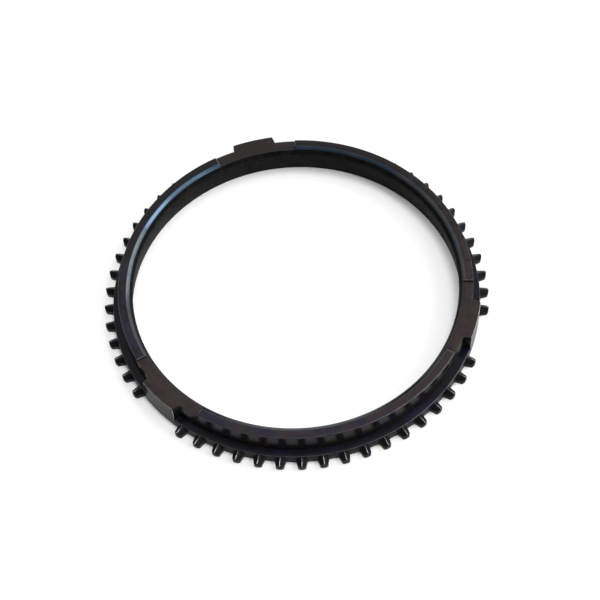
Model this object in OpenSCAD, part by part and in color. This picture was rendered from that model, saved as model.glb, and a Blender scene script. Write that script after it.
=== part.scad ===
// Synchronizer ring: one piece, a conical friction ring with a toothed flange and three guide lugs.
// Millimetres, +Z up, the ring's axis on Z and its flat toothed face on z = 0.

/* [Ring body] */
// Overall height of the ring
ring_h = 13.1; // [10:0.1:18]
// Radius of the inner friction cone at the toothed face
cone_r = 63.2; // [50:0.1:75]
// Radial thickness of the ring from the cone's wide mouth to its outer wall
wall_t = 3.9; // [3.2:0.1:6]
// Half angle of the inner friction cone, in degrees
cone_deg = 8; // [5:0.1:9]

/* [Inner bevels] */
// Height of the steep lower bevel above the cone
low_bevel_h = 1.5; // [0.8:0.05:2.5]
// Radial width of the steep lower bevel
low_bevel_w = 0.9; // [0.4:0.05:1.4]
// Height of the shallow upper bevel under the top face
top_bevel_h = 1; // [0.4:0.05:1.8]
// Radial width of the shallow upper bevel
top_bevel_w = 1.4; // [0.6:0.05:2]

/* [Flange] */
// Height of the toothed flange
flange_h = 4.3; // [3.5:0.1:6]
// Radial width of the flange outside the wall
flange_w = 2.9; // [2:0.1:4]

/* [Teeth] */
// Radial length of a tooth from the flange to its tip
tooth_len = 3.4; // [2:0.1:4.5]
// Tooth places in each sector between lug centres
sector_places = 19; // [16:1:21]
// Tooth places left empty at each lug
lug_places = 2; // [2:1:4]
// Width of a tooth at its root
tooth_root_w = 4.2; // [3:0.1:4.8]
// Width of a tooth at its tip
tooth_tip_w = 2.6; // [1.6:0.1:2.9]
// Corner cut at the tooth tips, seen from above
tip_corner = 0.6; // [0.1:0.05:0.7]
// Edge break at the foot of the tooth tips
tip_foot = 0.6; // [0.2:0.05:0.8]
// Height of the tooth ridge at the root
ridge_h = 3.9; // [3.2:0.1:4.2]
// Fall of the ridge from root to tip
ridge_fall = 0.2; // [0.05:0.05:0.8]
// Slope of the two roof faces of a tooth, in degrees
roof_deg = 45; // [30:1:52]

/* [Lugs] */
// Number of guide lugs, and of tooth sectors
lug_count = 3; // [3:1:4]
// Width of a lug at its outer corners
lug_w = 16; // [12:0.1:17]
// How far the outer face of a lug stands proud of the flange
lug_proud = 0.1; // [0.05:0.05:0.6]
// Extra width on each side where the lug meets the wall
lug_flare = 0.7; // [0.2:0.05:1.2]
// Depth of the recess in the top face around each lug
recess_depth = 0.85; // [0.3:0.05:2]
// Half angle of the recess around each lug, in degrees
recess_deg = 14; // [11:0.1:20]

/* [Edges] */
// Edge break on the outer rim of the top face
rim_edge = 0.25; // [0.1:0.05:0.5]
// Edge break on the rim of the flange
flange_edge = 0.2; // [0.1:0.05:0.4]
// Edge break at the wide mouth of the cone
mouth_edge = 0.3; // [0.1:0.05:0.6]

/* [Hidden] */
facets = 192;
wall_r = cone_r + wall_t;
root_r = wall_r + flange_w;
tip_r = root_r + tooth_len;
foot_z = ring_h - top_bevel_h - low_bevel_h;
foot_r = cone_r - foot_z * tan(cone_deg);
mid_r = foot_r + low_bevel_w;
mid_z = foot_z + low_bevel_h;
lip_r = mid_r + top_bevel_w;
lug_top = ring_h - recess_depth;
lug_r = root_r + lug_proud;
places = lug_count * sector_places;
pitch_deg = 360 / places;
teeth_per_sector = sector_places - lug_places;
first_lug_deg = 90;
fall_deg = atan(ridge_fall / tooth_len);
bury = 1.2;

// Half width of a tooth at radius r
function flank(r) = tooth_root_w / 2 + (tooth_tip_w - tooth_root_w) / 2 * (r - root_r) / tooth_len;

// Turned section of the ring with its flange, cone and bevels
module ring_body() {
    rotate_extrude($fn = facets)
        polygon([
            [cone_r + mouth_edge, 0],
            [root_r, 0],
            [root_r, flange_h - flange_edge],
            [root_r - flange_edge, flange_h],
            [wall_r, flange_h],
            [wall_r, ring_h - rim_edge],
            [wall_r - rim_edge, ring_h],
            [lip_r, ring_h],
            [mid_r, mid_z],
            [foot_r, foot_z],
            [cone_r - mouth_edge * tan(cone_deg), mouth_edge]
        ]);
}

// Wedge that lowers the top face around one lug
module recess_cut() {
    reach = (root_r + 4) / cos(recess_deg);
    translate([0, 0, lug_top])
        linear_extrude(height = recess_depth + 1)
            polygon([
                [0, 0],
                [reach * cos(recess_deg), -reach * sin(recess_deg)],
                [reach * cos(recess_deg), reach * sin(recess_deg)]
            ]);
}

// One guide lug, running from the toothed face up to the recess
module lug() {
    corner_x = sqrt(lug_r * lug_r - lug_w * lug_w / 4);
    base_x = wall_r - 2;
    outer_x = lug_r + 2;
    base_half = lug_w / 2 + lug_flare;
    slope = lug_flare / (corner_x - base_x);
    outer_half = lug_w / 2 - slope * (outer_x - corner_x);
    intersection() {
        linear_extrude(height = lug_top)
            polygon([
                [base_x, -base_half],
                [outer_x, -outer_half],
                [outer_x, outer_half],
                [base_x, base_half]
            ]);
        cylinder(h = ring_h, r = lug_r, $fn = facets);
    }
}

// One blocking tooth with a roof of two faces meeting in a radial ridge
module tooth() {
    half = tooth_root_w / 2 + 1;
    corner_r = tip_r - tip_corner;
    intersection() {
        linear_extrude(height = flange_h)
            polygon([
                [root_r - bury, -tooth_root_w / 2],
                [root_r, -tooth_root_w / 2],
                [corner_r, -flank(corner_r)],
                [tip_r, -tooth_tip_w / 2 + tip_corner],
                [tip_r, tooth_tip_w / 2 - tip_corner],
                [corner_r, flank(corner_r)],
                [root_r, tooth_root_w / 2],
                [root_r - bury, tooth_root_w / 2]
            ]);
        translate([root_r, 0, ridge_h])
            rotate([0, fall_deg, 0])
                translate([-2 * bury, 0, 0])
                    rotate([90, 0, 90])
                        linear_extrude(height = tooth_len + 4 * bury)
                            polygon([
                                [0, 0],
                                [half, -half * tan(roof_deg)],
                                [half, -ridge_h - 2],
                                [-half, -ridge_h - 2],
                                [-half, -half * tan(roof_deg)]
                            ]);
        rotate([90, 0, 0])
            translate([0, 0, -half])
                linear_extrude(height = 2 * half)
                    polygon([
                        [root_r - 2 * bury, 0],
                        [tip_r - tip_foot, 0],
                        [tip_r + 1, tip_foot + 1],
                        [tip_r + 1, flange_h],
                        [root_r - 2 * bury, flange_h]
                    ]);
    }
}

// The three turned recesses taken out of the ring
module recessed_body() {
    difference() {
        ring_body();
        for (k = [0 : lug_count - 1])
            rotate([0, 0, first_lug_deg + k * 360 / lug_count])
                recess_cut();
    }
}

// The ring with its lugs
module lugged_body() {
    union() {
        recessed_body();
        for (k = [0 : lug_count - 1])
            rotate([0, 0, first_lug_deg + k * 360 / lug_count])
                lug();
    }
}

// The teeth between two lugs
module tooth_sector() {
    for (j = [0 : teeth_per_sector - 1])
        rotate([0, 0, ((lug_places + 1) / 2 + j) * pitch_deg])
            tooth();
}

// The whole ring as one solid
module synchronizer_ring() {
    color("#2b2a30")
    union() {
        lugged_body();
        for (k = [0 : lug_count - 1])
            rotate([0, 0, first_lug_deg + k * 360 / lug_count])
                tooth_sector();
    }
}

synchronizer_ring();
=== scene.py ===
"""A blackened steel synchronizer ring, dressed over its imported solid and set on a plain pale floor.

Lengths are millimetres while a mesh is being shaped, and metres once it is finished.
"""

import logging
import math
from collections.abc import Callable, Mapping, Sequence
from dataclasses import dataclass, field, replace
from enum import Enum, IntEnum
from functools import cached_property

import bmesh
import bpy
from mathutils import Matrix, Vector


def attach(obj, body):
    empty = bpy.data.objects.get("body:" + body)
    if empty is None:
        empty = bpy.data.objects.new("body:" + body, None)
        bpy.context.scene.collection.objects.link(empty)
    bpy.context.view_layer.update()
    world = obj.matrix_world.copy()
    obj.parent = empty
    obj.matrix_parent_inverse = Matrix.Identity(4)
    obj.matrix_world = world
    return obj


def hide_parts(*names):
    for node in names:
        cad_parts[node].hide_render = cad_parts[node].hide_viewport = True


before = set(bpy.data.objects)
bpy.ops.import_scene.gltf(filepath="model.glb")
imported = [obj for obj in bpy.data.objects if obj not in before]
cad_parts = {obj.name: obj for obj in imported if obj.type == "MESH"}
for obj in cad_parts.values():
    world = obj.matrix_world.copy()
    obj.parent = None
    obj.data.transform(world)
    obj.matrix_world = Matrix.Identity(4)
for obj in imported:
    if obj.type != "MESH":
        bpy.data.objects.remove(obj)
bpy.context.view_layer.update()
LOG = logging.getLogger("synchronizer_ring")

MM = 0.001
NODE = "synchronizer_ring"
BODY = "root"

# Points closer than this are merged, in millimetres.
MERGE = 1e-4
# A point this close to a size lies on it, in millimetres.
NEAR = 0.01
# Upward part of a face's normal above which the face counts as level.
LEVEL = 0.95
# Upward part of a face's normal below which the face counts as upright.
UPRIGHT = 0.3
# Upward part of a face's normal below which the face belongs to the underside.
UNDERSIDE = -0.5
# Profile of a round edge.
ROUND = 0.5

Colour = tuple[float, float, float]
Point = tuple[float, float, float]
Span = tuple[float, float]
# A bearing in degrees and a strength.
Lean = tuple[float, float]


class Row(IntEnum):
    """Points of the turned section, in order round it."""

    MOUTH = 0
    HEEL = 1
    EAVES = 2
    RIM = 3
    LEDGE = 4
    CORNER = 5
    BROW = 6
    SILL = 7
    MID = 8
    FOOT = 9
    THROAT = 10


class Zone(IntEnum):
    """Faces that share one finish, in the order of the ring's material slots."""

    TOP = 0
    BEVEL = 1
    CONE = 2
    WALL = 3
    FLANGE = 4
    TEETH = 5
    EDGE = 6
    CREST = 7
    STEP = 8
    RECESS = 9
    LUG = 10


class Mapped(Enum):
    """How a finish's fine marks run on its faces."""

    TURNED = "round the axis"
    DRAWN = "along the axis"


class Value:
    """A number in a shader. Python's operators on it add Math nodes."""

    def __init__(self, graph: "Graph", socket: bpy.types.NodeSocket) -> None:
        """Keep the graph and the socket that gives the number."""
        self.graph = graph
        self.socket = socket

    def math(self, operation: str, *others: "Value | float") -> "Value":
        """Add one Math node.

        Args:
            operation: the node's operation.
            others: the values after this one.

        Returns:
            The node's result.
        """
        return self.graph.math(operation, self, *others)

    def __add__(self, other: "Value | float") -> "Value":
        """Sum."""
        return self.math("ADD", other)

    def __radd__(self, other: float) -> "Value":
        """Sum, with the number first."""
        return self.math("ADD", other)

    def __sub__(self, other: "Value | float") -> "Value":
        """Difference."""
        return self.math("SUBTRACT", other)

    def __rsub__(self, other: float) -> "Value":
        """Difference, with the number first."""
        return self.graph.math("SUBTRACT", other, self)

    def __mul__(self, other: "Value | float") -> "Value":
        """Product."""
        return self.math("MULTIPLY", other)

    def __rmul__(self, other: float) -> "Value":
        """Product, with the number first."""
        return self.math("MULTIPLY", other)

    def __truediv__(self, other: "Value | float") -> "Value":
        """Quotient."""
        return self.math("DIVIDE", other)

    def __rtruediv__(self, other: float) -> "Value":
        """Quotient, with the number first."""
        return self.graph.math("DIVIDE", other, self)

    def __pow__(self, other: float) -> "Value":
        """Power."""
        return self.math("POWER", other)

    def ease(self, low: float, high: float) -> "Value":
        """A smooth step.

        Args:
            low: where it is 0.
            high: where it is 1.

        Returns:
            The step, between 0 and 1.
        """
        node = self.graph.node(
            "ShaderNodeMapRange",
            {"interpolation_type": "SMOOTHSTEP"},
            {"Value": self, "From Min": low, "From Max": high},
        )
        return Value(self.graph, node.outputs["Result"])


@dataclass(frozen=True)
class Speckle:
    """One noise: its cells per unit, its octaves, and how strong the fine octaves are."""

    scale: float
    detail: float
    rough: float


class Graph:
    """The nodes of one material or world."""

    def __init__(self, tree: bpy.types.NodeTree) -> None:
        """Start from an empty tree."""
        self.tree = tree
        tree.nodes.clear()

    def node(
        self,
        kind: str,
        settings: Mapping[str, object] | None = None,
        inputs: Mapping[str | int, object] | None = None,
    ) -> bpy.types.Node:
        """Add a node.

        Args:
            kind: the node's type.
            settings: properties to set first.
            inputs: what each socket holds, by name or number: a Value, a socket or a constant.

        Returns:
            The node.
        """
        node = self.tree.nodes.new(kind)
        for name, setting in (settings or {}).items():
            setattr(node, name, setting)
        for key, given in (inputs or {}).items():
            socket = node.inputs[key]
            source = given.socket if isinstance(given, Value) else given
            if isinstance(source, bpy.types.NodeSocket):
                self.tree.links.new(source, socket)
            else:
                socket.default_value = source
        return node

    def math(self, operation: str, *values: Value | float) -> Value:
        """Add a Math node.

        Args:
            operation: the node's operation.
            values: its inputs in order.

        Returns:
            The node's result.
        """
        node = self.node("ShaderNodeMath", {"operation": operation}, dict(enumerate(values)))
        return Value(self, node.outputs[0])

    def mix(self, share: Value, first: object, second: object) -> bpy.types.NodeSocket:
        """Blend two colours.

        Args:
            share: how much of the second shows, from 0 to 1.
            first: a colour socket or a colour.
            second: a colour socket or a colour.

        Returns:
            The blended colour's socket.
        """
        given = {
            0: share,
            6: first if isinstance(first, bpy.types.NodeSocket) else (*first, 1.0),
            7: second if isinstance(second, bpy.types.NodeSocket) else (*second, 1.0),
        }
        return self.node("ShaderNodeMix", {"data_type": "RGBA"}, given).outputs[2]

    def noise(self, vector: bpy.types.NodeSocket, speckle: Speckle) -> Value:
        """Add a Noise texture.

        Args:
            vector: where it is read.
            speckle: its settings.

        Returns:
            Its value, around one half.
        """
        node = self.node(
            "ShaderNodeTexNoise",
            {"noise_dimensions": "3D"},
            {
                "Vector": vector,
                "Scale": speckle.scale,
                "Detail": speckle.detail,
                "Roughness": speckle.rough,
            },
        )
        return Value(self, node.outputs["Fac"])

    def vector(self, x: Value, y: Value, z: Value) -> bpy.types.NodeSocket:
        """Join three numbers to a vector."""
        return self.node("ShaderNodeCombineXYZ", {}, {0: x, 1: y, 2: z}).outputs[0]

    def parts(self, coordinates: str) -> tuple[Value, Value, Value]:
        """Take a Texture Coordinate apart.

        Args:
            coordinates: the name of the coordinates.

        Returns:
            Their three numbers.
        """
        vector = self.node("ShaderNodeTexCoord").outputs[coordinates]
        x, y, z = self.node("ShaderNodeSeparateXYZ", {}, {0: vector}).outputs
        return Value(self, x), Value(self, y), Value(self, z)


class Spot:
    """A place on an object in a shader, in millimetres and round the ring's axis."""

    def __init__(self, graph: Graph) -> None:
        """Add the nodes that give the place.

        Args:
            graph: the material's nodes.
        """
        self.graph = graph
        self.x, self.y, self.z = (part / MM for part in graph.parts("Object"))
        self.radius = (self.x * self.x + self.y * self.y) ** 0.5

    @cached_property
    def place(self) -> bpy.types.NodeSocket:
        """The place as a vector."""
        return self.graph.vector(self.x, self.y, self.z)

    def wrapped(self, turn: float, rise: Value) -> bpy.types.NodeSocket:
        """The place as a vector that runs round the axis.

        Args:
            turn: how much the vector changes round the axis.
            rise: its change across that.

        Returns:
            The vector's socket.
        """
        return self.graph.vector(self.x / self.radius * turn, self.y / self.radius * turn, rise)

    def toward(self, lean: Lean) -> Value:
        """A slow change round the axis.

        Args:
            lean: the bearing it is strongest at, in degrees, and its strength.

        Returns:
            The strength at the bearing, falling to minus that opposite to it.
        """
        bearing = math.radians(lean[0])
        return (self.x * math.cos(bearing) + self.y * math.sin(bearing)) / self.radius * lean[1]


@dataclass(frozen=True)
class RingSizes:
    """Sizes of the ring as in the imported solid, in millimetres and degrees."""

    ring_h: float = 13.1
    cone_r: float = 63.2
    wall_r: float = 67.1
    root_r: float = 70.0
    tip_r: float = 73.4
    mouth_edge: float = 0.3
    throat_r: float = 63.158
    foot_r: float = 61.71
    foot_z: float = 10.6
    mid_r: float = 62.61
    mid_z: float = 12.1
    lip_r: float = 64.01
    rim_edge: float = 0.25
    flange_h: float = 4.3
    flange_edge: float = 0.2
    lug_top: float = 12.25
    lug_r: float = 70.1
    lug_outer_deg: float = 6.553
    lug_wall_deg: float = 7.254
    first_lug_deg: float = 90.0
    lug_count: int = 3
    sector_places: int = 19
    tooth_root_half: float = 2.1
    tooth_tip_half: float = 1.3
    tip_corner: float = 0.6
    tip_foot: float = 0.6
    ridge_h: float = 3.9
    ridge_fall: float = 0.2

    def bevel_r(self, z: float) -> float:
        """Radius of the upper bevel at a height."""
        share = (z - self.mid_z) / (self.ring_h - self.mid_z)
        return self.mid_r + share * (self.lip_r - self.mid_r)

    def flank(self, r: float) -> float:
        """Half width of a tooth at a radius."""
        share = (r - self.root_r) / (self.tip_r - self.root_r)
        return self.tooth_root_half + share * (self.tooth_tip_half - self.tooth_root_half)

    def ridge(self, r: float) -> float:
        """Height of a tooth's ridge at a radius."""
        return self.ridge_h - self.ridge_fall * (r - self.root_r) / (self.tip_r - self.root_r)

    def section(self) -> dict[Row, tuple[float, float]]:
        """The turned section, with its top at the recess floor.

        Returns:
            Radius and height of each point.
        """
        eaves_z = self.ridge_h - self.tooth_root_half
        return {
            Row.MOUTH: (self.cone_r + self.mouth_edge, 0.0),
            Row.HEEL: (self.root_r, 0.0),
            Row.EAVES: (self.root_r, eaves_z),
            Row.RIM: (self.root_r, self.flange_h - self.flange_edge),
            Row.LEDGE: (self.root_r - self.flange_edge, self.flange_h),
            Row.CORNER: (self.wall_r, self.flange_h),
            Row.BROW: (self.wall_r, self.lug_top),
            Row.SILL: (self.bevel_r(self.lug_top), self.lug_top),
            Row.MID: (self.mid_r, self.mid_z),
            Row.FOOT: (self.foot_r, self.foot_z),
            Row.THROAT: (self.throat_r, self.mouth_edge),
        }


@dataclass
class ToothedRing:
    """The ring: a turned body, lugs and recesses, and teeth pulled out of the flange's rim.

    Attributes:
        sizes: the ring's sizes.
        columns_per_place: columns of faces in a tooth place.
        tooth_columns: columns of a place that its tooth takes.
        recess_columns: columns of a recess to each side of its middle.
        lug_columns: columns of a lug to each side of its middle.
        ridge_round: width of the rounding of a tooth's ridge.
        corner_round: width of the rounding of a tip's upright corners.
        edge_round: width of the rounding of any other sharp edge.
        worn_round: width of the rounding of a worn edge.
        round_segments: faces across a ridge's or a corner's rounding.
        edge_segments: faces across any other rounding.
        worn_segments: faces across a worn edge's rounding.
        wear_foot: how far above the flange the wear of a lug's corners ends.
        sharp_deg: least turn of an edge that can be worn.
        soften_deg: least turn of an edge that is rounded.
        step_reach: least length of a recess step's edge across the ring.
        above_flange: how far above the flange a level face belongs to the top.
        proud_of_rim: how far outside the rim a face belongs to a lug.
        proud_of_lug: how far outside the lugs a face belongs to a tooth.
        name: name of the object and its mesh.
    """

    sizes: RingSizes = field(default_factory=RingSizes)
    columns_per_place: int = 8
    tooth_columns: int = 4
    recess_columns: int = 18
    lug_columns: int = 9
    ridge_round: float = 0.17
    corner_round: float = 0.22
    edge_round: float = 0.07
    worn_round: float = 0.16
    round_segments: int = 4
    edge_segments: int = 2
    worn_segments: int = 3
    wear_foot: float = 0.8
    sharp_deg: float = 40.0
    soften_deg: float = 33.0
    step_reach: float = 1.0
    above_flange: float = 1.0
    proud_of_rim: float = 0.04
    proud_of_lug: float = 0.03
    name: str = "toothed_ring"

    @property
    def places(self) -> int:
        """Tooth places on the full circle."""
        return self.sizes.lug_count * self.sizes.sector_places

    @property
    def columns(self) -> int:
        """Columns of faces on the full circle."""
        return self.places * self.columns_per_place

    @property
    def sector_columns(self) -> int:
        """Columns from one lug's middle to the next."""
        return self.sizes.sector_places * self.columns_per_place

    @property
    def tooth_start(self) -> int:
        """Columns of a place before its tooth."""
        return (self.columns_per_place - self.tooth_columns) // 2

    def in_lug(self, column: int) -> bool:
        """Whether a column of faces belongs to a lug."""
        local = column % self.sector_columns
        return min(local, self.sector_columns - 1 - local) < self.lug_columns

    def in_top(self, column: int) -> bool:
        """Whether a column of faces is outside the recesses."""
        local = column % self.sector_columns
        return min(local, self.sector_columns - 1 - local) >= self.recess_columns

    def in_tooth(self, column: int) -> bool:
        """Whether a column of faces belongs to a tooth.

        Args:
            column: the column.

        Returns:
            True in the middle of each tooth place that isn't left empty beside a lug.
        """
        place, step = divmod(column, self.columns_per_place)
        filled = 0 < place % self.sizes.sector_places < self.sizes.sector_places - 1
        return filled and self.tooth_start <= step < self.tooth_start + self.tooth_columns

    def column_angle(self, column: int) -> float:
        """Angle of the line between two columns, in radians.

        Args:
            column: the column that starts at the line.

        Returns:
            The angle, with narrower columns in the gaps than in the teeth.
        """
        pitch = math.tau / self.places
        tooth = 2.0 * math.asin(self.sizes.tooth_root_half / self.sizes.root_r)
        gap = (pitch - tooth) / 2.0
        place, step = divmod(column, self.columns_per_place)
        before = min(step, self.tooth_start)
        inside = min(max(step - self.tooth_start, 0), self.tooth_columns)
        after = max(step - self.tooth_start - self.tooth_columns, 0)
        turned = (before + after) * gap / self.tooth_start + inside * tooth / self.tooth_columns
        return math.radians(self.sizes.first_lug_deg) + place * pitch + turned

    def build(self) -> bpy.types.Object:
        """Make the ring's mesh and object.

        Returns:
            The object, at the origin, in metres.
        """
        bm = bmesh.new()
        self._turn(bm)
        self._raise_lugs(bm)
        self._raise_top(bm)
        self._pull_teeth(bm)
        bmesh.ops.recalc_face_normals(bm, faces=bm.faces)
        crest = bm.faces.layers.int["crest"]
        for face in bm.faces:
            face.smooth = True
            face.material_index = Zone.CREST if face[crest] else self._zone(face)
        self._split_lug_corners(bm)
        self._mark_worn(bm)
        bmesh.ops.scale(bm, vec=(MM, MM, MM), verts=bm.verts)
        mesh = bpy.data.meshes.new(self.name)
        bm.to_mesh(mesh)
        bm.free()
        ring = bpy.data.objects.new(self.name, mesh)
        bpy.context.scene.collection.objects.link(ring)
        self._soften(ring)
        return ring

    def dress(self, ring: bpy.types.Object) -> None:
        """Give the ring its finishes, in the order of Zone."""
        for zone in Zone:
            ring.data.materials.append(FINISHES[zone].material())

    def _turn(self, bm: bmesh.types.BMesh) -> None:
        """Spin the section and set its columns at their angles.

        Args:
            bm: the mesh, still empty.
        """
        row = bm.verts.layers.int.new("row")
        col = bm.verts.layers.int.new("col")
        points = []
        for place, (r, z) in self.sizes.section().items():
            point = bm.verts.new((r, 0.0, z))
            point[row] = int(place)
            points.append(point)
        edges = [bm.edges.new(pair) for pair in zip(points, points[1:] + points[:1], strict=True)]
        bmesh.ops.spin(
            bm,
            geom=points + edges,
            cent=(0.0, 0.0, 0.0),
            axis=(0.0, 0.0, 1.0),
            angle=math.tau,
            steps=self.columns,
            use_merge=True,
        )
        bmesh.ops.remove_doubles(bm, verts=bm.verts, dist=MERGE)
        step = math.tau / self.columns
        for vert in bm.verts:
            turned = math.atan2(vert.co.y, vert.co.x) % math.tau
            vert[col] = round(turned / step) % self.columns
            radius = math.hypot(vert.co.x, vert.co.y)
            self._seat(vert, radius, vert.co.z, self.column_angle(vert[col]))

    @staticmethod
    def _seat(vert: bmesh.types.BMVert, r: float, z: float, angle: float) -> None:
        """Put a vertex at a radius, a height and an angle."""
        vert.co = (r * math.cos(angle), r * math.sin(angle), z)

    def _strip(
        self,
        bm: bmesh.types.BMesh,
        rows: set[Row],
        wanted: Callable[[int], bool],
    ) -> list[bmesh.types.BMFace]:
        """Find faces of the turned grid.

        Args:
            bm: the mesh.
            rows: the rows that all corners of a face are in.
            wanted: says whether a column is wanted.

        Returns:
            The faces.
        """
        row = bm.verts.layers.int["row"]
        col = bm.verts.layers.int["col"]
        found = []
        for face in bm.faces:
            if {vert[row] for vert in face.verts} != rows:
                continue
            ends = sorted({vert[col] for vert in face.verts})
            if len(ends) != 2:
                continue
            start = ends[1] if ends[1] - ends[0] > 1 else ends[0]
            if wanted(start):
                found.append(face)
        return found

    def _pull(
        self, bm: bmesh.types.BMesh, faces: list[bmesh.types.BMFace]
    ) -> tuple[list[bmesh.types.BMVert], list[bmesh.types.BMFace]]:
        """Extrude faces in place.

        Args:
            bm: the mesh.
            faces: the faces.

        Returns:
            The new vertices and the faces on them.
        """
        made = bmesh.ops.extrude_face_region(bm, geom=faces)["geom"]
        verts = [part for part in made if isinstance(part, bmesh.types.BMVert)]
        caps = [part for part in made if isinstance(part, bmesh.types.BMFace)]
        bmesh.ops.delete(bm, geom=[face for face in faces if face.is_valid], context="FACES")
        return verts, caps

    def _raise_lugs(self, bm: bmesh.types.BMesh) -> None:
        """Raise the lugs from the flange to the recess floor, and join them to the wall.

        Args:
            bm: the mesh.
        """
        size = self.sizes
        row = bm.verts.layers.int["row"]
        col = bm.verts.layers.int["col"]
        outer = (Row.HEEL, Row.EAVES, Row.RIM, Row.LEDGE)
        half = self.sector_columns // 2
        for vert in bm.verts:
            local = (vert[col] + half) % self.sector_columns - half
            if abs(local) > self.lug_columns or vert[row] not in (*outer, Row.CORNER, Row.BROW):
                continue
            at_side = abs(local) == self.lug_columns
            middle = self.column_angle(vert[col] - local)
            on_wall = vert[row] not in outer
            side_deg = size.lug_wall_deg if on_wall else size.lug_outer_deg
            angle = self.column_angle(vert[col])
            if at_side:
                angle = middle + math.copysign(math.radians(side_deg), local)
            height = size.flange_h if vert[row] == Row.LEDGE else vert.co.z
            self._seat(vert, size.wall_r if on_wall else size.lug_r, height, angle)
        tops, _ = self._pull(bm, self._strip(bm, {Row.CORNER, Row.LEDGE}, self.in_lug))
        for vert in tops:
            vert.co.z = size.lug_top
        inside = self._strip(bm, {Row.CORNER, Row.BROW}, self.in_lug)
        inside += self._strip(bm, {Row.CORNER}, self.in_lug)
        bmesh.ops.delete(bm, geom=inside, context="FACES")
        bmesh.ops.remove_doubles(bm, verts=bm.verts, dist=MERGE)
        for vert in bm.verts:
            on_top = abs(vert.co.z - size.lug_top) < NEAR
            if on_top and abs(math.hypot(vert.co.x, vert.co.y) - size.wall_r) < NEAR:
                vert[row] = int(Row.BROW)

    def _raise_top(self, bm: bmesh.types.BMesh) -> None:
        """Raise the top face between the recesses, with its bevel and its broken outer edge.

        Args:
            bm: the mesh.
        """
        size = self.sizes
        row = bm.verts.layers.int["row"]
        col = bm.verts.layers.int["col"]
        caps = self._strip(bm, {Row.BROW, Row.SILL}, self.in_top)
        shoulder_z = size.ring_h - size.rim_edge
        levels = (
            (shoulder_z, size.wall_r, size.bevel_r(shoulder_z)),
            (size.ring_h, size.wall_r - size.rim_edge, size.lip_r),
        )
        for z, outer_r, inner_r in levels:
            verts, caps = self._pull(bm, caps)
            for vert in verts:
                radius = outer_r if vert[row] == Row.BROW else inner_r
                self._seat(vert, radius, z, self.column_angle(vert[col]))

    def _tooth_point(self, column: int) -> tuple[float, float]:
        """Place of a grid line on its tooth.

        Args:
            column: the line's column.

        Returns:
            The tooth's angle in radians, and the line's share of the half width, from -1 to 1.
        """
        place, step = divmod(column, self.columns_per_place)
        middle = self.column_angle(place * self.columns_per_place + self.columns_per_place // 2)
        half = self.tooth_columns / 2
        return middle, (step - self.columns_per_place / 2) / half

    def _pull_teeth(self, bm: bmesh.types.BMesh) -> None:
        """Pull the teeth out of the flange's rim and round their ridges and tip corners.

        Args:
            bm: the mesh.
        """
        size = self.sizes
        row = bm.verts.layers.int["row"]
        col = bm.verts.layers.int["col"]
        faces = self._strip(bm, {Row.HEEL, Row.EAVES}, self.in_tooth)
        roots = {vert for face in faces for vert in face.verts}
        eaves = [vert for vert in roots if vert[row] == Row.EAVES]
        for vert in eaves:
            _, share = self._tooth_point(vert[col])
            vert.co.z = size.ridge_h - abs(share) * size.tooth_root_half
        corner_r = size.tip_r - size.tip_corner
        stages = (
            (corner_r, size.flank(corner_r), 0.0),
            (size.tip_r, size.tooth_tip_half - size.tip_corner, size.tip_foot),
        )
        ridge = {vert for vert in eaves if self._tooth_point(vert[col])[1] == 0}
        corners = set()
        for r, half, sole in stages:
            verts, faces = self._pull(bm, faces)
            for vert in verts:
                middle, share = self._tooth_point(vert[col])
                across = share * half
                height = sole if vert[row] == Row.HEEL else size.ridge(r) - abs(across)
                turn = Matrix.Rotation(middle, 3, "Z")
                vert.co = turn @ Vector((r, across, height))
                if vert[row] == Row.EAVES and share == 0:
                    ridge.add(vert)
                if abs(share) == 1:
                    corners.add(vert)
        above = [
            edge
            for vert in ridge & roots
            for edge in vert.link_edges
            if edge.other_vert(vert)[row] == Row.RIM
        ]
        bmesh.ops.dissolve_edges(bm, edges=above, use_verts=False)
        at_corners = [edge for edge in bm.edges if corners.issuperset(edge.verts)]
        upright = [edge for edge in at_corners if edge.verts[0][row] != edge.verts[1][row]]
        self._round(bm, upright, self.corner_round)
        ridges = [edge for edge in bm.edges if ridge.issuperset(edge.verts)]
        crest = bm.faces.layers.int.new("crest")
        for face in self._round(bm, ridges, self.ridge_round):
            face[crest] = 1

    def _round(
        self, bm: bmesh.types.BMesh, edges: list[bmesh.types.BMEdge], width: float
    ) -> list[bmesh.types.BMFace]:
        """Round some edges.

        Args:
            bm: the mesh.
            edges: the edges.
            width: how far the rounding reaches on each side.

        Returns:
            The rounding's faces.
        """
        made = bmesh.ops.bevel(
            bm,
            geom=edges,
            offset=width,
            offset_type="OFFSET",
            affect="EDGES",
            segments=self.round_segments,
            profile=ROUND,
            material=-1,
            clamp_overlap=True,
        )
        return made["faces"]

    def _zone(self, face: bmesh.types.BMFace) -> Zone:
        """Choose a face's finish, from where it is and which way it faces.

        Args:
            face: the face.

        Returns:
            Its zone.
        """
        size = self.sizes
        middle = face.calc_center_median()
        radius = math.hypot(middle.x, middle.y)
        up = face.normal.z
        outward = face.normal.x * middle.x + face.normal.y * middle.y
        if radius > size.lug_r + self.proud_of_lug:
            return Zone.TEETH
        if outward > 0 and UPRIGHT < up < LEVEL:
            return Zone.EDGE
        if up > LEVEL and middle.z > size.flange_h + self.above_flange:
            return Zone.TOP if middle.z > (size.lug_top + size.ring_h) / 2 else Zone.RECESS
        if up > LEVEL:
            return Zone.FLANGE
        if outward < 0 and middle.z > size.mid_z and radius < size.lip_r:
            return Zone.BEVEL
        if outward < 0 and radius < size.cone_r + size.mouth_edge:
            return Zone.CONE
        if radius > size.root_r + self.proud_of_rim:
            return Zone.LUG
        if middle.z < size.flange_h and radius < size.root_r + NEAR:
            return Zone.TEETH if up > UNDERSIDE else Zone.FLANGE
        return Zone.WALL

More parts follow.
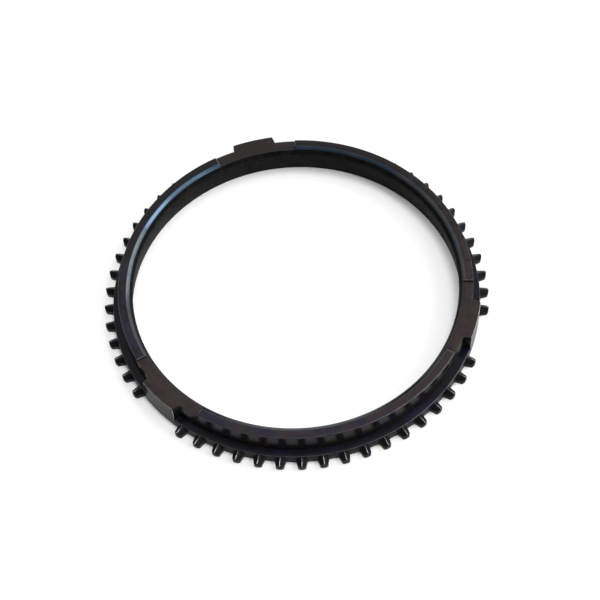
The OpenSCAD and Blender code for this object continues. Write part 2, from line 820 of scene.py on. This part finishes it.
    def _on_lug_face(self, vert: bmesh.types.BMVert) -> bool:
        """Whether a vertex lies on the radius of the lugs' outer faces."""
        return abs(math.hypot(vert.co.x, vert.co.y) - self.sizes.lug_r) < NEAR

    def _split_lug_corners(self, bm: bmesh.types.BMesh) -> None:
        """Cut each upright lug corner a little above the flange, where its wear ends.

        Args:
            bm: the mesh.
        """
        size = self.sizes
        uprights = []
        for edge in bm.edges:
            start, end = edge.verts
            is_tall = abs(start.co.z - end.co.z) > size.flange_h
            if not (is_tall and self._on_lug_face(start) and self._on_lug_face(end)):
                continue
            if edge.calc_face_angle() > math.radians(self.sharp_deg):
                uprights.append(edge)
        made = bmesh.ops.bisect_edges(bm, edges=uprights, cuts=1)["geom_split"]
        for vert in (part for part in made if isinstance(part, bmesh.types.BMVert)):
            if size.flange_h + NEAR < vert.co.z < size.lug_top - NEAR:
                vert.co.z = size.flange_h + self.wear_foot

    def _mark_worn(self, bm: bmesh.types.BMesh) -> None:
        """Mark the edges that handling has worn bright: those of the recess steps and the lugs.

        Args:
            bm: the mesh.
        """
        size = self.sizes
        worn = bm.edges.layers.float.new("bevel_weight_edge")
        for edge in bm.edges:
            if len(edge.link_faces) != 2:
                continue
            if edge.calc_face_angle_signed() < math.radians(self.sharp_deg):
                continue
            inner, outer = sorted(math.hypot(vert.co.x, vert.co.y) for vert in edge.verts)
            lowest = min(vert.co.z for vert in edge.verts)
            is_step = outer - inner > self.step_reach and lowest > size.ring_h - NEAR
            on_lug = all(self._on_lug_face(vert) for vert in edge.verts)
            is_lug = on_lug and lowest > size.flange_h + NEAR
            edge[worn] = 1.0 if is_step or is_lug else 0.0

    def _soften(self, ring: bpy.types.Object) -> None:
        """Break the worn edges of the ring, and every other sharp edge by a hair.

        Args:
            ring: the ring's object.
        """
        kinds = (
            ("worn_round", "WEIGHT", self.worn_round, self.worn_segments, int(Zone.STEP)),
            ("edge_round", "ANGLE", self.edge_round, self.edge_segments, -1),
        )
        for name, limit, width, segments, slot in kinds:
            bevel = ring.modifiers.new(name, "BEVEL")
            bevel.limit_method = limit
            bevel.angle_limit = math.radians(self.soften_deg)
            bevel.width = width * MM
            bevel.segments = segments
            bevel.profile = ROUND
            bevel.use_clamp_overlap = True
            bevel.harden_normals = True
            bevel.material = slot


@dataclass(frozen=True)
class OxideMarks:
    """Marks that all the finishes share, on a scale of millimetres.

    Attributes:
        film: clouds of the coloured film, at one millimetre to a patch.
        film_edge: where in the clouds the film starts and is full, at no share.
        film_gain: how far a full share moves that edge.
        wear: speckles of worn oxide.
        wear_edge: where in the speckles the wear starts and is full.
        line_wear: how much the fine lines add to the wear.
        tip_r: radii between which the painted tip highlight grows toward the tooth tips.
        lines: fine lines from machining.
        turned: stretch of lines round the axis, along them and across.
        drawn: stretch of lines along the axis, across them and along.
        grime: faint clouds round the axis that dull the gloss.
        grime_rise: stretch of those clouds across the ring.
        gloss_edge: where in lines and grime the gloss is highest and lowest.
        grain: fine grain of the surface.
        line_height: share of the lines in the relief.
        grain_height: share of the grain in the relief.
        relief: strength of the relief.
    """

    film: Speckle = Speckle(1.0, 3.0, 0.55)
    film_edge: Span = (0.62, 0.78)
    film_gain: float = 0.4
    wear: Speckle = Speckle(0.35, 4.0, 0.6)
    wear_edge: Span = (0.35, 0.7)
    line_wear: float = 0.6
    tip_r: Span = (70.5, 72.8)
    lines: Speckle = Speckle(1.0, 3.0, 0.6)
    turned: Span = (1.5, 3.0)
    drawn: Span = (60.0, 0.06)
    grime: Speckle = Speckle(9.0, 3.0, 0.6)
    grime_rise: float = 0.02
    gloss_edge: Span = (0.3, 0.7)
    grain: Speckle = Speckle(2.5, 2.0, 0.5)
    line_height: float = 0.7
    grain_height: float = 0.3
    relief: float = 0.6


MARKS = OxideMarks()


@dataclass(frozen=True)
class OxideFinish:
    """Black oxide on steel: its colours, its gloss and its fine marks.

    Attributes:
        name: the material's name.
        base: colour of the whole oxide.
        worn: colour where it is worn, also where light is painted on toward one side and the tooth
            tips.
        film: colour of the film that lies on it in patches.
        film_share: how much of the surface the film takes, more or less than at 0.
        patch_mm: size of the film's patches.
        gloss: lowest and highest roughness.
        mark_depth_mm: depth of the lines and the grain.
        marks: which way the fine lines run.
        metal: 1 where the steel shows, 0 where the oxide covers it.
        ior: index of refraction of the oxide, which sets how much it mirrors.
        grazing: how much it mirrors at a flat angle, from 0 to 1.
        film_lean: bearing and strength of a side with more film.
        lighter_side: bearing and strength of a side where the worn colour shows more; on the top, the
            edges and the crests this paints light on that side.
        tip_highlight: how much the painted highlight grows toward the tooth tips.
        wear_bias: shift toward the worn colour everywhere.
        painted_shade: colour of the painted shade that darkens the inner side of painted_shade_r, if
            any.
        painted_shade_r: radii between which the painted shade gives way to the other colours.
    """

    name: str
    base: Colour
    worn: Colour
    film: Colour
    film_share: float
    patch_mm: float
    gloss: Span
    mark_depth_mm: float
    marks: Mapped = Mapped.TURNED
    metal: float = 0.0
    ior: float = 1.5
    grazing: float = 1.0
    film_lean: Lean = (0.0, 0.0)
    lighter_side: Lean = (0.0, 0.0)
    tip_highlight: float = 0.0
    wear_bias: float = 0.0
    painted_shade: Colour | None = None
    painted_shade_r: Span = (0.0, 1.0)

    def material(self) -> bpy.types.Material:
        """Make the finish's material.

        Returns:
            A material with a Principled shader on Object coordinates.
        """
        made = bpy.data.materials.new(self.name)
        made.use_nodes = True
        graph = Graph(made.node_tree)
        spot = Spot(graph)
        lines = self._lines(graph, spot)
        grain = graph.noise(spot.place, MARKS.grain)
        bump = graph.node(
            "ShaderNodeBump",
            {},
            {
                "Strength": MARKS.relief,
                "Distance": self.mark_depth_mm * MM,
                "Height": lines * MARKS.line_height + grain * MARKS.grain_height,
            },
        )
        shader = graph.node(
            "ShaderNodeBsdfPrincipled",
            {},
            {
                "Base Color": self._colour(graph, spot, lines),
                "Roughness": self._roughness(graph, spot, lines),
                "Metallic": self.metal,
                "IOR": self.ior,
                "Specular Tint": (self.grazing, self.grazing, self.grazing, 1.0),
                "Normal": bump.outputs["Normal"],
            },
        )
        graph.node("ShaderNodeOutputMaterial", {}, {"Surface": shader.outputs["BSDF"]})
        return made

    def _lines(self, graph: Graph, spot: Spot) -> Value:
        """Draw the fine lines from machining.

        Args:
            graph: the material's nodes.
            spot: the place on the ring.

        Returns:
            Their strength, around one half.
        """
        if self.marks is Mapped.TURNED:
            along, across = MARKS.turned
            return graph.noise(spot.wrapped(along, (spot.radius + spot.z) * across), MARKS.lines)
        across, along = MARKS.drawn
        return graph.noise(spot.wrapped(across, spot.z * along), MARKS.lines)

    def _colour(self, graph: Graph, spot: Spot, lines: Value) -> bpy.types.NodeSocket:
        """Lay the worn oxide with its painted light, the film and the painted shade over each other.

        Args:
            graph: the material's nodes.
            spot: the place on the ring.
            lines: the fine lines.

        Returns:
            The colour's socket.
        """
        patches = replace(MARKS.film, scale=1.0 / self.patch_mm)
        cloud = graph.noise(spot.place, patches) + spot.toward(self.film_lean)
        film_low, film_high = MARKS.film_edge
        shift = self.film_share * MARKS.film_gain
        # The worn colour shows in speckles of real wear, and more toward one side and toward the tooth
        # tips: that lean is painted light on the top, the edges and the crests.
        wear = graph.noise(spot.place, MARKS.wear) + spot.toward(self.lighter_side)
        wear = wear + (spot.radius.ease(*MARKS.tip_r) - 0.5) * self.tip_highlight + self.wear_bias
        wear = wear + (lines - 0.5) * MARKS.line_wear
        tone = graph.mix(wear.ease(*MARKS.wear_edge), self.base, self.worn)
        colour = graph.mix(cloud.ease(film_low - shift, film_high - shift), tone, self.film)
        # Painted shade: toward the inner radius the colour gives way to a darker one, in place of the
        # light falling off across the bevel.
        if self.painted_shade is None:
            return colour
        return graph.mix(spot.radius.ease(*self.painted_shade_r), self.painted_shade, colour)

    def _roughness(self, graph: Graph, spot: Spot, lines: Value) -> Value:
        """Vary the gloss with the fine lines and with grime.

        Args:
            graph: the material's nodes.
            spot: the place on the ring.
            lines: the fine lines.

        Returns:
            The roughness.
        """
        rise = (spot.radius + spot.z) * MARKS.grime_rise
        grime = graph.noise(spot.wrapped(1.0, rise), MARKS.grime)
        low, high = self.gloss
        dull = ((lines + grime) * 0.5).ease(*MARKS.gloss_edge)
        return dull * (high - low) + low


FINISHES: dict[Zone, OxideFinish] = {
    Zone.TOP: OxideFinish(
        "satin_brown_oxide",
        base=(0.0052, 0.0039, 0.0048),
        worn=(0.021, 0.0145, 0.0155),
        film=(0.011, 0.0083, 0.021),
        film_share=0.1,
        patch_mm=13.0,
        gloss=(0.28, 0.42),
        ior=1.22,
        mark_depth_mm=0.01,
        film_lean=(-130.0, 0.2),
        # Painted light: the top face is lighter toward bearing -80 degrees.
        lighter_side=(-80.0, 0.28),
    ),
    Zone.BEVEL: OxideFinish(
        "blue_temper_bevel",
        base=(0.05, 0.056, 0.061),
        worn=(0.06, 0.067, 0.072),
        film=(0.027, 0.042, 0.064),
        film_share=-0.16,
        patch_mm=12.0,
        gloss=(0.1, 0.17),
        metal=1.0,
        mark_depth_mm=0.004,
        grazing=0.95,
        film_lean=(90.0, 0.5),
        # Painted shade: the bevel darkens toward its inner edge.
        painted_shade=(0.014, 0.024, 0.03),
        painted_shade_r=(62.4, 63.4),
    ),
    Zone.CONE: OxideFinish(
        "matt_black_cone",
        base=(0.003, 0.003, 0.003),
        worn=(0.0085, 0.0085, 0.008),
        film=(0.0045, 0.0045, 0.005),
        film_share=0.3,
        patch_mm=6.0,
        gloss=(0.42, 0.58),
        ior=1.1,
        marks=Mapped.DRAWN,
        mark_depth_mm=0.015,
    ),
    Zone.WALL: OxideFinish(
        "black_oxide_wall",
        base=(0.005, 0.0043, 0.005),
        worn=(0.008, 0.0065, 0.006),
        film=(0.0055, 0.005, 0.011),
        film_share=0.2,
        patch_mm=11.0,
        gloss=(0.15, 0.25),
        ior=1.175,
        mark_depth_mm=0.004,
    ),
    Zone.FLANGE: OxideFinish(
        "navy_oxide_flange",
        base=(0.0042, 0.0036, 0.0066),
        worn=(0.006, 0.0054, 0.0095),
        film=(0.0065, 0.006, 0.018),
        film_share=0.25,
        patch_mm=10.0,
        gloss=(0.14, 0.24),
        ior=1.18,
        mark_depth_mm=0.006,
    ),
    Zone.TEETH: OxideFinish(
        "black_oxide_teeth",
        base=(0.009, 0.0086, 0.0102),
        worn=(0.014, 0.0132, 0.0155),
        film=(0.01, 0.0095, 0.018),
        film_share=0.2,
        patch_mm=7.0,
        gloss=(0.26, 0.4),
        ior=1.14,
        mark_depth_mm=0.006,
    ),
    Zone.EDGE: OxideFinish(
        "worn_edge_and_highlight",
        base=(0.028, 0.026, 0.031),
        worn=(0.1, 0.092, 0.108),
        film=(0.06, 0.056, 0.08),
        film_share=0.2,
        patch_mm=5.0,
        gloss=(0.35, 0.5),
        metal=1.0,
        mark_depth_mm=0.002,
        # Painted highlight: the edge lines are brighter toward bearing -115 degrees.
        lighter_side=(-115.0, 0.25),
    ),
    Zone.CREST: OxideFinish(
        "burnished_crest_and_highlight",
        base=(0.06, 0.06, 0.063),
        worn=(0.3, 0.295, 0.3),
        film=(0.06, 0.06, 0.063),
        film_share=0.0,
        patch_mm=3.0,
        gloss=(0.2, 0.35),
        metal=1.0,
        mark_depth_mm=0.002,
        grazing=0.5,
        # Painted highlight: the crests are brighter toward bearing -101 degrees and toward the tooth
        # tips.
        lighter_side=(-101.0, 0.4),
        tip_highlight=0.6,
        wear_bias=-0.3,
    ),
    Zone.STEP: OxideFinish(
        "bright_step_edge",
        base=(0.14, 0.138, 0.138),
        worn=(0.34, 0.335, 0.33),
        film=(0.08, 0.08, 0.085),
        film_share=0.0,
        patch_mm=3.0,
        gloss=(0.25, 0.4),
        metal=1.0,
        mark_depth_mm=0.002,
    ),
    Zone.RECESS: OxideFinish(
        "brown_oxide_recess",
        base=(0.012, 0.0078, 0.0076),
        worn=(0.023, 0.0152, 0.0145),
        film=(0.011, 0.008, 0.0125),
        film_share=0.1,
        patch_mm=9.0,
        gloss=(0.28, 0.42),
        ior=1.22,
        mark_depth_mm=0.01,
        lighter_side=(-100.0, 0.2),
    ),
    Zone.LUG: OxideFinish(
        "olive_oxide_lug",
        base=(0.009, 0.0079, 0.0057),
        worn=(0.0145, 0.0126, 0.0098),
        film=(0.0075, 0.0068, 0.0058),
        film_share=0.3,
        patch_mm=5.0,
        gloss=(0.2, 0.32),
        ior=1.125,
        mark_depth_mm=0.006,
    ),
}


@dataclass(frozen=True)
class Softbox:
    """One large soft lamp, by where it stands as seen from the ring, in metres and watts."""

    name: str
    bearing_deg: float
    height_deg: float
    distance: float
    width: float
    height: float
    power: float

    def hang(self) -> None:
        """Add the lamp, facing the ring."""
        lamp = bpy.data.lights.new(self.name, "AREA")
        lamp.shape = "RECTANGLE"
        lamp.size = self.width
        lamp.size_y = self.height
        lamp.energy = self.power
        bearing = math.radians(self.bearing_deg)
        rise = math.radians(self.height_deg)
        level = math.cos(rise)
        away = Vector((math.cos(bearing) * level, math.sin(bearing) * level, math.sin(rise)))
        facing = away.to_track_quat("Z", "Y").to_matrix().to_4x4()
        hung = bpy.data.objects.new(self.name, lamp)
        hung.matrix_world = Matrix.Translation(away * self.distance) @ facing
        bpy.context.scene.collection.objects.link(hung)


@dataclass(frozen=True)
class Studio:
    """The floor, the light and the camera, in metres.

    Attributes:
        floor_radius: radius of the floor.
        floor_sides: sides of the floor's outline.
        floor_drop: how far the floor lies under the ring.
        floor_colour: colour of the floor.
        glow_inside: share of the floor's own glow inside the ring.
        glow_foot: share of the glow under the ring.
        glow_gaps: share of the glow between the teeth.
        glow_outside: share of the glow outside the ring.
        foot_edge: radii between which the glow changes at the ring's mouth, in millimetres.
        gap_edge: radii between which it changes at the tooth roots, in millimetres.
        outer_edge: radii between which it changes at the tooth tips, in millimetres.
        horizon: colour of the low sky.
        zenith: colour of the high sky.
        horizon_rise: upward part of the direction where the low sky ends.
        zenith_rise: upward part of the direction where the high sky starts.
        lean: how far the high sky comes down on its bright side.
        bright_bearing_deg: bearing of that side.
        eye: place of the camera.
        aim: point in the middle of the picture.
        roll_deg: turn of the camera about its line of sight.
        lens_mm: focal length.
        sensor_mm: width of the sensor.
        clip: nearest and farthest distance that the camera sees.
        softboxes: the lamps.
    """

    floor_radius: float = 3.0
    floor_sides: int = 64
    floor_drop: float = 2e-5
    floor_colour: Colour = (0.98, 0.98, 0.98)
    glow_inside: float = 0.6
    glow_foot: float = 0.0
    glow_gaps: float = 0.5
    glow_outside: float = 0.92
    foot_edge: Span = (58.0, 62.5)
    gap_edge: Span = (69.9, 71.6)
    outer_edge: Span = (73.5, 76.0)
    horizon: Colour = (0.08, 0.08, 0.087)
    zenith: Colour = (1.5, 1.5, 1.51)
    horizon_rise: float = 0.2
    zenith_rise: float = 0.85
    lean: float = 0.6
    bright_bearing_deg: float = 59.0
    eye: Point = (-0.05839, -0.30608, 0.48649)
    aim: Point = (0.001122, -0.001113, 0.0)
    roll_deg: float = -3.915
    lens_mm: float = 90.13
    sensor_mm: float = 36.0
    clip: Span = (0.01, 50.0)
    softboxes: tuple[Softbox, ...] = (
        Softbox(
            "right_panel",
            bearing_deg=-14.0,
            height_deg=38.0,
            distance=4.0,
            width=6.0,
            height=2.6,
            power=140.0,
        ),
        Softbox(
            "right_lamp",
            bearing_deg=-11.0,
            height_deg=40.5,
            distance=3.0,
            width=0.7,
            height=0.4,
            power=8.0,
        ),
        Softbox(
            "near_lamp",
            bearing_deg=-48.0,
            height_deg=46.0,
            distance=3.0,
            width=0.5,
            height=0.4,
            power=8.0,
        ),
    )

    def build(self) -> None:
        """Add all of it to the scene."""
        self._lay_floor()
        self._light_world()
        for softbox in self.softboxes:
            softbox.hang()
        self._aim_camera()
        bpy.context.scene.view_settings.view_transform = "Standard"

    def _lay_floor(self) -> None:
        """Lay a plain pale floor just under the ring."""
        bm = bmesh.new()
        bmesh.ops.create_circle(
            bm, cap_ends=True, segments=self.floor_sides, radius=self.floor_radius
        )
        bmesh.ops.translate(bm, vec=(0.0, 0.0, -self.floor_drop), verts=bm.verts)
        mesh = bpy.data.meshes.new("pale_floor")
        bm.to_mesh(mesh)
        bm.free()
        mesh.materials.append(self._floor_paint())
        floor = bpy.data.objects.new("pale_floor", mesh)
        bpy.context.scene.collection.objects.link(floor)

    def _floor_paint(self) -> bpy.types.Material:
        """Make the floor's material: matt, with a glow that only the camera and mirrors see.

        Returns:
            The material.
        """
        paint = bpy.data.materials.new("pale_floor")
        paint.use_nodes = True
        graph = Graph(paint.node_tree)
        matt = graph.node("ShaderNodeBsdfDiffuse", {}, {"Color": (*self.floor_colour, 1.0)})
        glow = graph.node("ShaderNodeEmission", {}, {"Color": (1.0, 1.0, 1.0, 1.0), "Strength": 1.0})
        path = graph.node("ShaderNodeLightPath").outputs
        seen = Value(graph, path["Is Camera Ray"]).math("MAXIMUM", Value(graph, path["Is Glossy Ray"]))
        radius = Spot(graph).radius
        share = radius.ease(*self.foot_edge) * (self.glow_foot - self.glow_inside) + self.glow_inside
        share = share + radius.ease(*self.gap_edge) * (self.glow_gaps - self.glow_foot)
        share = share + radius.ease(*self.outer_edge) * (self.glow_outside - self.glow_gaps)
        shader = graph.node(
            "ShaderNodeMixShader",
            {},
            {0: seen * share, 1: matt.outputs["BSDF"], 2: glow.outputs["Emission"]},
        )
        graph.node("ShaderNodeOutputMaterial", {}, {"Surface": shader.outputs["Shader"]})
        return paint

    def _light_world(self) -> None:
        """Light the scene from all round, more from above and from one side."""
        world = bpy.data.worlds.new("studio_room")
        bpy.context.scene.world = world
        world.use_nodes = True
        graph = Graph(world.node_tree)
        east, north, rise = graph.parts("Generated")
        bearing = math.radians(self.bright_bearing_deg)
        side = (east * math.cos(bearing) + north * math.sin(bearing)) * self.lean
        height = (rise + side).ease(self.horizon_rise, self.zenith_rise)
        sky = graph.mix(height, self.horizon, self.zenith)
        light = graph.node("ShaderNodeBackground", {}, {"Color": sky, "Strength": 1.0})
        graph.node("ShaderNodeOutputWorld", {}, {"Surface": light.outputs["Background"]})

    def _aim_camera(self) -> None:
        """Set the camera where the photograph was taken from."""
        lens = bpy.data.cameras.new("camera")
        lens.sensor_fit = "HORIZONTAL"
        lens.sensor_width = self.sensor_mm
        lens.lens = self.lens_mm
        lens.clip_start, lens.clip_end = self.clip
        eye = Vector(self.eye)
        ahead = (Vector(self.aim) - eye).normalized()
        side = ahead.cross(Vector((0.0, 0.0, 1.0))).normalized()
        head = side.cross(ahead)
        roll = math.radians(self.roll_deg)
        right = side * math.cos(roll) + head * math.sin(roll)
        up = head * math.cos(roll) - side * math.sin(roll)
        turn = Matrix((right, up, -ahead)).transposed()
        camera = bpy.data.objects.new("camera", lens)
        camera.matrix_world = Matrix.Translation(eye) @ turn.to_4x4()
        bpy.context.scene.collection.objects.link(camera)
        bpy.context.scene.camera = camera


def corners(box: Sequence[Sequence[float]]) -> list[list[float]]:
    """A box's two corners as plain lists of numbers."""
    return [[float(number) for number in corner] for corner in box]


def main() -> None:
    """Build the ring and the studio."""
    logging.basicConfig(level=logging.INFO, format="%(name)s: %(message)s")
    Studio().build()
    maker = ToothedRing()
    ring = maker.build()
    maker.dress(ring)
    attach(ring, BODY)
    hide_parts(NODE)
    LOG.info("%s: %d faces before its edges are rounded", ring.name, len(ring.data.polygons))


if __name__ == "__main__":
    main()
